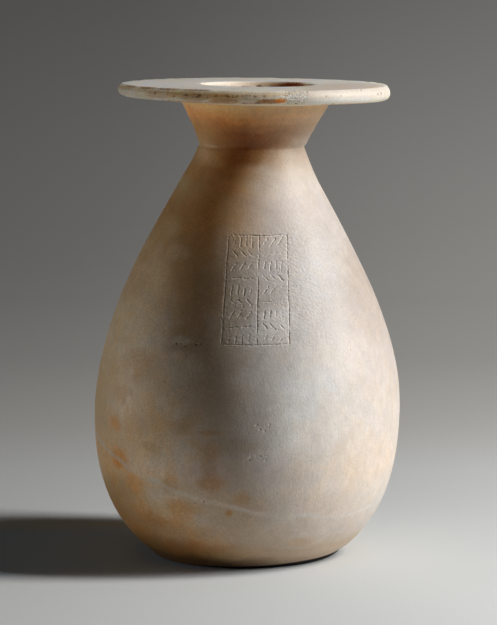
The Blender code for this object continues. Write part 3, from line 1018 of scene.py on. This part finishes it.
off_sheet = add_node(tree, "Math", {"operation": "ABSOLUTE"}, {0: off_sheet.outputs[0]})
in_vein = add_node(
    tree,
    "MapRange",
    SMOOTH_FADE,
    {"Value": off_sheet.outputs[0], "From Min": VEIN_END, "From Max": VEIN_FULL},
)
vein_strength = add_node(
    tree,
    "MapRange",
    inputs={
        "Value": swell.outputs[0],
        "From Min": 0.35,
        "From Max": 0.65,
        "To Min": 0.52,
        "To Max": 0.17,
    },
)
in_vein = add_node(tree, "Math", TIMES, {0: in_vein.outputs[0], 1: vein_strength.outputs[0]})
stone = add_node(
    tree, "Mix", COLOUR_MIX, {0: in_vein.outputs[0], 6: stone, 7: linear("E6E2DC")}
).outputs[2]

# Clouding at 16 mm and 5 mm, upright sanding marks about a millimetre apart, and crystal grain.
grains = {}
for name, stretch, size, detail in (
    ("cloud", (1.0, 1.0, 1.0), 0.0160, 5.0),
    ("mottle", (1.0, 1.0, 0.7), 0.0050, 4.0),
    ("sanding", (1.0, 1.0, 0.09), 0.0014, 3.0),
    ("grain", (1.0, 1.0, 0.8), 0.0013, 2.0),
):
    stretched = add_node(tree, "VectorMath", TIMES, {0: where, 1: stretch})
    grains[name] = add_node(
        tree,
        "TexNoise",
        inputs={
            "Vector": stretched.outputs[0],
            "Scale": 1.0 / size,
            "Detail": detail,
            "Roughness": 0.6,
        },
    ).outputs[0]
# Iron stains the stone honey in ragged patches, most of all on the left and low down, and between
# them it keeps a pale bloom.
honey_side = add_node(
    tree,
    "MapRange",
    SMOOTH_FADE,
    {"Value": across.outputs[0], "From Min": 0.25, "From Max": 0.55, "To Min": 1.0, "To Max": 0.25},
)
honey_low = add_node(
    tree,
    "MapRange",
    SMOOTH_FADE,
    {"Value": height, "From Min": 0.180, "From Max": 0.070, "To Min": 0.45, "To Max": 1.0},
)
PATCH_SIZE = 0.015
HONEY_TINT = (1.02, 0.84, 0.60)
BLOOM_TINT = (0.97, 1.03, 1.20)
patches = add_node(
    tree,
    "TexNoise",
    inputs={"Vector": wandering, "Scale": 1.0 / PATCH_SIZE, "Detail": 6.0, "Roughness": 0.66},
)
for tint, start, end, sides in (
    (HONEY_TINT, 0.47, 0.66, (honey_side, honey_low)),
    (BLOOM_TINT, 0.50, 0.34, (honey_side,)),
):
    share = add_node(
        tree,
        "MapRange",
        SMOOTH_FADE,
        {"Value": patches.outputs[0], "From Min": start, "From Max": end, "To Max": 0.75},
    )
    for side in sides:
        share = add_node(tree, "Math", TIMES, {0: share.outputs[0], 1: side.outputs[0]})
    tinted = add_node(tree, "VectorMath", TIMES, {0: stone, 1: tint})
    stone = add_node(
        tree, "Mix", COLOUR_MIX, {0: share.outputs[0], 6: stone, 7: tinted.outputs[0]}
    ).outputs[2]

for name, darkest, palest in (
    ("cloud", 0.94, 1.06),
    ("mottle", 0.94, 1.06),
    ("sanding", 0.975, 1.025),
    ("grain", 0.95, 1.05),
):
    shade = add_node(
        tree,
        "MapRange",
        inputs={
            "Value": grains[name],
            "From Min": 0.3,
            "From Max": 0.7,
            "To Min": darkest,
            "To Max": palest,
        },
    )
    stone = add_node(tree, "VectorMath", SCALED, {0: stone, "Scale": shade.outputs[0]}).outputs[0]

# The field right of the panel was left rippled, and coarse crystals stand bare on the disc's edge.
RIPPLED_PLACE = (0.040, -0.070, 0.195)
RIPPLED_REACH = (0.030, 0.060, 0.048)
RIPPLE_LENGTH = 0.0015
CRYSTAL_SIZE = 0.0011
rippled = patch_share(where, RIPPLED_PLACE, RIPPLED_REACH, 0.35, 1.0)
stretched = add_node(tree, "VectorMath", TIMES, {0: where, 1: (0.45, 1.0, 1.0)})
ripples = add_node(
    tree,
    "TexNoise",
    inputs={
        "Vector": stretched.outputs[0],
        "Scale": 1.0 / RIPPLE_LENGTH,
        "Detail": 3.0,
        "Distortion": 0.6,
    },
)
ripples = add_node(tree, "Math", TIMES, {0: ripples.outputs[0], 1: rippled})
crumbly = patch_share(where, CRUMBLY_PLACE, (CRUMBLY_REACH,) * 3, 0.50, 1.0)
crystals = add_node(
    tree,
    "TexVoronoi",
    {"feature": "F1"},
    {"Vector": where, "Scale": 1.0 / CRYSTAL_SIZE, "Randomness": 1.0},
)
# A thin pale crust lies in specks over the left side, and the bare crystals have dark gaps.
for value, start, end, at_start, at_end, side in (
    (speckles.outputs[0], 0.35, 0.65, -0.15, 0.15, honey_side.outputs[0]),
    (crystals.outputs["Distance"], 0.15, 0.75, 0.20, -0.28, crumbly),
):
    shade = add_node(
        tree,
        "MapRange",
        inputs={
            "Value": value,
            "From Min": start,
            "From Max": end,
            "To Min": at_start,
            "To Max": at_end,
        },
    )
    shade = add_node(tree, "Math", TIMES_PLUS, {0: shade.outputs[0], 1: side, 2: 1.0})
    stone = add_node(tree, "VectorMath", SCALED, {0: stone, "Scale": shade.outputs[0]}).outputs[0]
# Pale flecks, most on the rippled field: partly the stone's crystals, partly painted glints of
# sparkle.
flecks_and_glints = add_node(
    tree,
    "MapRange",
    inputs={"Value": grains["grain"], "From Min": 0.58, "From Max": 0.70, "To Max": 0.45},
)
on_ripples = add_node(tree, "Math", TIMES_PLUS, {0: rippled, 1: 0.8, 2: 0.2})
flecks_and_glints = add_node(tree, "Math", TIMES, {0: flecks_and_glints.outputs[0], 1: on_ripples.outputs[0]})
stone = add_node(
    tree, "Mix", COLOUR_MIX, {0: flecks_and_glints.outputs[0], 6: stone, 7: linear("EEE8E0")}
).outputs[2]

# Old dirt lies in the knocks and the stone's own pores, the cuts and the fresh breaks are pale, and
# a black line of painted shadow sits under the foot's edge, where the gap under it is in shade; it
# climbs a little towards the right.
PORE_SPACING = 0.0052
FOOT_SHADOW_CLIMB = 0.032
FOOT_SHADOW_FULL = 0.0016
FOOT_SHADOW_TOP = 0.0026
foot_shadow_line = add_node(tree, "Math", TIMES_PLUS, {0: place.outputs["X"], 1: -FOOT_SHADOW_CLIMB, 2: height})
foot_shadow = add_node(
    tree,
    "MapRange",
    SMOOTH_FADE,
    {"Value": foot_shadow_line.outputs[0], "From Min": FOOT_SHADOW_TOP, "From Max": FOOT_SHADOW_FULL},
)
pores = add_node(
    tree,
    "TexVoronoi",
    {"feature": "F1"},
    {"Vector": wandering, "Scale": 1.0 / PORE_SPACING, "Randomness": 1.0},
)
pore_share = add_node(
    tree,
    "MapRange",
    SMOOTH_FADE,
    {"Value": pores.outputs["Distance"], "From Min": 0.11, "From Max": 0.05, "To Max": 0.7},
)
few = add_node(
    tree, "MapRange", inputs={"Value": grains["cloud"], "From Min": 0.50, "From Max": 0.58}
)
pore_share = add_node(tree, "Math", TIMES, {0: pore_share.outputs[0], 1: few.outputs[0]})
cut_share = add_node(tree, "Attribute", {"attribute_name": "cut"}).outputs["Fac"]
knock_share = add_node(tree, "Attribute", {"attribute_name": "knock"}).outputs["Fac"]
for share, strength, code in (
    (pore_share.outputs[0], 0.7, "8A6C4C"),
    (cut_share, 0.55, "FBF4EA"),
    (knock_share, 0.75, "5E3A18"),
    (knock_share, -0.80, "F6F2EC"),
    # painted shadow: the black line under the foot's edge
    (foot_shadow.outputs[0], 1.0, "0A0705"),
):
    dirt = add_node(tree, "Math", TIMES, {0: share, 1: strength})
    stone = add_node(
        tree, "Mix", COLOUR_MIX, {0: dirt.outputs[0], 6: stone, 7: linear(code)}
    ).outputs[2]
tree.links.new(stone, shader.inputs["Base Color"])

roughness = add_node(
    tree,
    "MapRange",
    inputs={
        "Value": grains["mottle"],
        "From Min": 0.3,
        "From Max": 0.7,
        "To Min": 0.40,
        "To Max": 0.56,
    },
)
# The painted shadow under the foot is also rougher.
roughness = add_node(
    tree, "Math", TIMES_PLUS, {0: foot_shadow.outputs[0], 1: 0.5, 2: roughness.outputs[0]}
)
tree.links.new(roughness.outputs[0], shader.inputs["Roughness"])
shader.inputs["Specular IOR Level"].default_value = 0.4

# Light soaks a little way into the body, far through the collar below the disc, less in the disc,
# and least in the wall round the mouth.
SOAKING_RISE = (0.2800, 0.3080)
off_disc = add_node(tree, "Math", TIMES_PLUS, {0: on_disc.outputs[0], 1: -0.25, 2: 1.0})
outside = add_node(
    tree,
    "MapRange",
    inputs={
        "Value": from_axis.outputs["Value"],
        "From Min": MOUTH_RADIUS,
        "From Max": MOUTH_RADIUS + 2.0 * LIP_ROUNDING,
        "To Min": 0.3,
    },
)
off_disc = add_node(tree, "Math", TIMES, {0: off_disc.outputs[0], 1: outside.outputs[0]})
for socket, in_body, in_collar in (
    ("Subsurface Weight", 0.20, 0.95),
    ("Subsurface Scale", 0.010, 0.030),
):
    soaking = add_node(
        tree,
        "MapRange",
        SMOOTH_FADE,
        {
            "Value": height,
            "From Min": SOAKING_RISE[0],
            "From Max": SOAKING_RISE[1],
            "To Min": in_body,
            "To Max": in_collar,
        },
    )
    soaking = add_node(tree, "Math", TIMES, {0: soaking.outputs[0], 1: off_disc.outputs[0]})
    tree.links.new(soaking.outputs[0], shader.inputs[socket])
shader.inputs["Subsurface Radius"].default_value = (1.0, 0.82, 0.58)

RELIEF_HEIGHT = 0.00014
RIPPLE_RELIEF = 3.0  # next to the sanding and the grain
CRYSTAL_RELIEF = -5.0
relief = add_node(tree, "Math", TIMES_PLUS, {0: grains["sanding"], 1: 0.5, 2: grains["grain"]})
relief = add_node(
    tree, "Math", {"operation": "SUBTRACT"}, {0: relief.outputs[0], 1: pore_share.outputs[0]}
)
relief = add_node(
    tree, "Math", TIMES_PLUS, {0: ripples.outputs[0], 1: RIPPLE_RELIEF, 2: relief.outputs[0]}
)
uneven = add_node(tree, "Math", TIMES, {0: crystals.outputs["Distance"], 1: crumbly})
relief = add_node(
    tree, "Math", TIMES_PLUS, {0: uneven.outputs[0], 1: CRYSTAL_RELIEF, 2: relief.outputs[0]}
)
bump = add_node(
    tree, "Bump", inputs={"Strength": 1.0, "Distance": RELIEF_HEIGHT, "Height": relief.outputs[0]}
)
tree.links.new(bump.outputs[0], shader.inputs["Normal"])
jar.data.materials.append(travertine)

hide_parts("jar")
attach(jar, "root")
